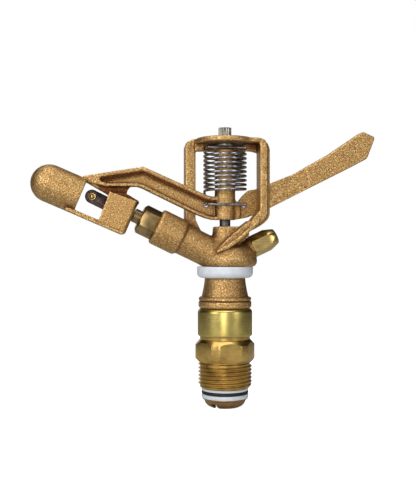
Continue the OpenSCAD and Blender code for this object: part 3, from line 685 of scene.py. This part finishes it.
def within(nodes, links, value, low, high, soft=0.4 * mm):
    """1 where a coordinate lies from low to high, with soft ends."""
    rise, fall = nodes.new("ShaderNodeMapRange"), nodes.new("ShaderNodeMapRange")
    both = nodes.new("ShaderNodeMath")
    for node, start, end in ((rise, low - soft, low + soft), (fall, high + soft, high - soft)):
        node.inputs["From Min"].default_value, node.inputs["From Max"].default_value = start, end
        links.new(value, node.inputs["Value"])
    both.operation = "MULTIPLY"
    links.new(rise.outputs["Result"], both.inputs[0])
    links.new(fall.outputs["Result"], both.inputs[1])
    return both.outputs["Value"]


def times(nodes, links, *factors):
    """Several values multiplied together."""
    total = factors[0]
    for factor in factors[1:]:
        node = nodes.new("ShaderNodeMath")
        node.operation = "MULTIPLY"
        links.new(total, node.inputs[0])
        links.new(factor, node.inputs[1])
        total = node.outputs["Value"]
    return total


def channel_painted_shade(nodes, links, place):
    """Painted shade, as a value of 0 to 1: the sides of the beam's channels and the deflector's roof,
    where shade falls.
    """
    split = nodes.new("ShaderNodeSeparateXYZ")
    links.new(place, split.inputs["Vector"])
    depth = nodes.new("ShaderNodeMath")
    depth.operation = "ABSOLUTE"
    links.new(split.outputs["Y"], depth.inputs[0])
    sides = times(nodes, links,
                  within(nodes, links, depth.outputs["Value"], 1.35 * mm, 2.75 * mm, 0.3 * mm),
                  within(nodes, links, split.outputs["X"], -78 * mm, -5 * mm),
                  within(nodes, links, split.outputs["Z"], arm_level + 1.5 * mm, arm_level + 30.5 * mm))
    roof = times(nodes, links, within(nodes, links, split.outputs["X"], -74 * mm, -52 * mm),
                 within(nodes, links, split.outputs["Y"], -7.3 * mm, 7 * mm),
                 within(nodes, links, split.outputs["Z"], arm_level + 7 * mm, arm_level + 18.9 * mm))
    total = nodes.new("ShaderNodeMath")
    total.operation = "MAXIMUM"
    links.new(sides, total.inputs[0])
    links.new(roof, total.inputs[1])
    return total.outputs["Value"]


# The arm's bronze, with painted shade in its channels and under the deflector's roof.
arm_bronze = cast_bronze("arm_bronze", channel_painted_shade)


def bar_cutter(name, middle, size, tilt, twist):
    """A square bar across a casting, to sink a groove or take off a long edge."""
    bpy.ops.object.select_all(action="DESELECT")
    bpy.ops.mesh.primitive_cube_add(size=1, scale=size, rotation=(0, 0, math.radians(twist)))
    tool = bpy.context.object
    tool.name = name
    bpy.ops.object.transform_apply(location=True, rotation=True, scale=True)
    tool.rotation_euler, tool.location = (0, math.radians(tilt), 0), middle
    bpy.ops.object.transform_apply(location=True, rotation=True, scale=True)
    return tool


plate_front = -8 * mm
plate_tilt, bar_tilt = 23.3, -66.6
plate_edge = bar_cutter("plate_edge", (-57.7 * mm, plate_front, arm_level + 1.2 * mm),
                        (2.7 * mm, 2.7 * mm, 24 * mm), plate_tilt, 45)
bar_groove = bar_cutter("bar_groove", (-78.5 * mm, plate_front, arm_level - 1.35 * mm),
                        (0.8 * mm, 1.7 * mm, 33 * mm), bar_tilt, 0)
arm = casting("arm_casting", "arm_casting_visual", 0.46 * mm, 4, cutters=(plate_edge, bar_groove))
fitted(arm, "drive_arm", arm_bronze, ["arm_casting"], angle=180)

# ---------------------------------------------------------------- arm spring
# A steel torsion spring round the hub. Each end is bent through two holes, in the
# arm below and in the bridge's webs above, and crosses in front between them.
coil_r, coil_wire, coil_pitch, coil_turns = 12.8 * mm, 0.8 * mm, 2.7 * mm, 9
hook_turn = math.radians(20)
hook_x, hook_y = coil_r * math.cos(hook_turn), coil_r * math.sin(hook_turn)
hook_front, hook_z, eye_z = 7.45 * mm, arm_level + 9.3 * mm, 131.0 * mm
coil_foot = arm_level + 17.7 * mm
coil_top = coil_foot + coil_pitch * coil_turns


def bent(corners, radius, steps=6):
    """A route through corners, with each bend rounded."""
    route = [Vector(corners[0])]
    for before, corner, after in zip(corners, corners[1:], corners[2:]):
        corner = Vector(corner)
        back, on = Vector(before) - corner, Vector(after) - corner
        start, end = corner + back.normalized() * radius, corner + on.normalized() * radius
        for i in range(steps + 1):
            t = i / steps
            route.append((1 - t) ** 2 * start + 2 * t * (1 - t) * corner + t * t * end)
    return route + [Vector(corners[-1])]


lower_end = bent([(hook_x, 3.4 * mm, hook_z), (hook_x, -hook_front, hook_z),
                  (-hook_x, -hook_front, hook_z), (-hook_x, hook_y, hook_z),
                  (-hook_x, hook_y, coil_foot - 1.2 * mm)], 1.5 * mm)
coils = helix(coil_r, coil_foot, coil_pitch, coil_turns, math.pi - hook_turn)
upper_end = bent([(-hook_x, hook_y, coil_top + 0.1 * mm), (-hook_x, hook_y, eye_z),
                  (-hook_x, -hook_front - 0.5 * mm, eye_z),
                  (hook_x, -hook_front - 0.5 * mm, eye_z), (hook_x, 1.6 * mm, eye_z)], 1.3 * mm)
arm_spring = wire("arm_spring_visual", lower_end + coils[1:-1] + upper_end, coil_wire)
fitted(arm_spring, "drive_arm", spring_steel, ["arm_spring"], angle=80)

# ---------------------------------------------------------------- vane strap and rivet
# A strap along the jet, behind the deflector's plate, with a brass rivet
# near its round end. Its near-black colour is painted shade, for the shadow behind the plate.


def painted_shade_metal(name):
    """Near-black metal as painted shade, for the shadow behind the deflector's plate, with brown in
    places.
    """
    material, nodes, links, shader, place = metal(name, (0.035, 0.026, 0.026), 0.42, 0.7)
    worn = noise(nodes, links, place, 260, 5)
    links.new(ramp(nodes, links, worn, [(0.38, (0.012, 0.010, 0.014)), (0.7, (0.10, 0.055, 0.04))]),
              shader.inputs["Base Color"])
    bump(nodes, links, shader, noise(nodes, links, place, 900, 3), 0.05 * mm, 0.4)
    return material


def cad_copy(node, name):
    """A free copy of a CAD node with its loose triangles joined."""
    pick(frame["nodes"][node])
    bpy.ops.object.duplicate()
    piece = bpy.context.object
    piece.name = piece.data.name = name
    bpy.ops.object.parent_clear(type="CLEAR_KEEP_TRANSFORM")
    bpy.ops.object.mode_set(mode="EDIT")
    bpy.ops.mesh.select_all(action="SELECT")
    bpy.ops.mesh.remove_doubles(threshold=1e-6)
    bpy.ops.mesh.dissolve_limited(angle_limit=math.radians(1))
    bpy.ops.object.mode_set(mode="OBJECT")
    return piece


strap = edges_broken(cad_copy("vane_strap", "vane_strap_visual"), 0.2 * mm, 2, 40)
fitted(strap, "drive_arm", painted_shade_metal("painted_shade_strap"), ["vane_strap"])
rivet_x, rivet_z = (sum(corner[i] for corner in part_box("vane_rivet")) / 2 for i in (0, 2))
rivet_front, rivet_back = (corner.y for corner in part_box("vane_rivet"))
rivet = turned("vane_rivet_visual", [
    (0.02 * mm, -rivet_back), (2.0 * mm, -rivet_back), (2.1 * mm, -rivet_back + 0.2 * mm),
    (2.1 * mm, -rivet_back + 0.6 * mm), (1.2 * mm, -rivet_back + 0.6 * mm),
    (1.2 * mm, -rivet_back + 1.9 * mm), (2.0 * mm, -rivet_back + 1.95 * mm)]
    + arc(0, -rivet_front - 2.2 * mm, 2.2 * mm, 30, 89, 6), steps=48)
pick(rivet)
rivet.rotation_euler = (math.pi / 2, 0, 0)
rivet.location = (rivet_x, 0, rivet_z)
bpy.ops.object.transform_apply(location=True, rotation=True, scale=True)
fitted(rivet, "drive_arm", rear_brass, ["vane_rivet"], angle=40)

# ---------------------------------------------------------------- floor, lights and camera
# A pale floor and a white backdrop, soft lamps above and in front, and a long
# lens a little to the left of the arm's open side.
ground = tube_foot - 0.2 * mm
bpy.ops.object.select_all(action="DESELECT")
bpy.ops.mesh.primitive_plane_add(size=6, location=(0, 0, ground))
floor = bpy.context.object
floor.name = "floor"


def seen_ray(nodes, links):
    """1 for what is seen directly, in a reflection or through glass, 0 for light."""
    path = nodes.new("ShaderNodeLightPath")
    total = path.outputs["Is Camera Ray"]
    for other in ("Is Glossy Ray", "Is Transmission Ray"):
        add = nodes.new("ShaderNodeMath")
        add.operation, add.use_clamp = "ADD", True
        links.new(total, add.inputs[0])
        links.new(path.outputs[other], add.inputs[1])
        total = add.outputs["Value"]
    return total, path.outputs["Is Camera Ray"]


paper = bpy.data.materials.new("floor_paper")
paper.use_nodes = True
nodes, links = paper.node_tree.nodes, paper.node_tree.links
shader = nodes["Principled BSDF"]
shader.inputs["Base Color"].default_value = (0.6, 0.6, 0.6, 1)
shader.inputs["Roughness"].default_value = 0.9
shader.inputs["Specular IOR Level"].default_value = 0.0
shader.inputs["Emission Color"].default_value = (1, 1, 1, 1)
any_ray, camera_ray = seen_ray(nodes, links)
shown = nodes.new("ShaderNodeMapRange")
shown.inputs["To Max"].default_value = 0.93
links.new(camera_ray, shown.inputs["Value"])
gloss = nodes.new("ShaderNodeMath")
gloss.operation = "MULTIPLY_ADD"
gloss.inputs[1].default_value = 0.04
links.new(any_ray, gloss.inputs[0])
links.new(shown.outputs["Result"], gloss.inputs[2])
links.new(gloss.outputs["Value"], shader.inputs["Emission Strength"])
floor.data.materials.append(paper)

world = bpy.data.worlds.new("studio")
bpy.context.scene.world = world
world.use_nodes = True
nodes, links = world.node_tree.nodes, world.node_tree.links
background = nodes["Background"]
direction = nodes.new("ShaderNodeTexCoord").outputs["Generated"]
split = nodes.new("ShaderNodeSeparateXYZ")
links.new(direction, split.inputs["Vector"])
half = nodes.new("ShaderNodeMapRange")
half.inputs["From Min"].default_value, half.inputs["From Max"].default_value = -1.0, 1.0
links.new(split.outputs["Y"], half.inputs["Value"])
backdrop = ramp(nodes, links, half.outputs["Result"], [
    (0.0, (0.34, 0.34, 0.34)), (0.25, (0.14, 0.14, 0.14)), (0.45, (0.02, 0.02, 0.02)),
    (0.93, (0.02, 0.02, 0.02)), (0.98, (1, 1, 1))])
any_ray, camera_ray = seen_ray(nodes, links)
reflected = nodes.new("ShaderNodeMix")
reflected.data_type = "RGBA"
reflected.inputs["A"].default_value = (0.10, 0.10, 0.10, 1)
links.new(any_ray, reflected.inputs["Factor"])
links.new(backdrop, reflected.inputs["B"])
seen = nodes.new("ShaderNodeMix")
seen.data_type = "RGBA"
links.new(camera_ray, seen.inputs["Factor"])
links.new(reflected.outputs["Result"], seen.inputs["A"])
seen.inputs["B"].default_value = (1, 1, 1, 1)
links.new(seen.outputs["Result"], background.inputs["Color"])


def softbox(name, place, size, power, target=(0, 0, 0.06)):
    """A white rectangular lamp, turned to face the middle of the object."""
    lamp = bpy.data.lights.new(name, "AREA")
    lamp.shape, lamp.size, lamp.size_y, lamp.energy = "RECTANGLE", *size, power
    holder = bpy.data.objects.new(name, lamp)
    holder.location = place
    holder.rotation_euler = (Vector(target) - Vector(place)).to_track_quat("-Z", "Y").to_euler()
    bpy.context.collection.objects.link(holder)


softbox("left", (-0.66, -0.46, 0.34), (0.36, 0.46), 2.7)
softbox("right", (0.50, -0.64, 0.26), (0.24, 0.42), 1.3)
softbox("top", (-0.08, -0.12, 0.75), (0.75, 0.55), 4.0)
softbox("front", (-0.25, -0.85, 0.18), (0.22, 0.60), 3.2)

camera_turn, reach, aside, height = math.radians(-10), 490 * mm, -10.5 * mm, 68.3 * mm
across = Vector((math.cos(camera_turn), math.sin(camera_turn), 0))
back = Vector((math.sin(camera_turn), -math.cos(camera_turn), 0))
camera = bpy.data.objects.new("camera", bpy.data.cameras.new("camera"))
bpy.context.collection.objects.link(camera)
camera.location = back * reach + across * aside + Vector((0, 0, height))
camera.rotation_euler = (-back).to_track_quat("-Z", "Y").to_euler()
camera.data.lens, camera.data.sensor_width, camera.data.sensor_fit = 56.9, 36, "AUTO"
camera.data.clip_start, camera.data.clip_end = 0.01, 20
bpy.context.scene.camera = camera
bpy.context.scene.view_settings.view_transform = "Standard"
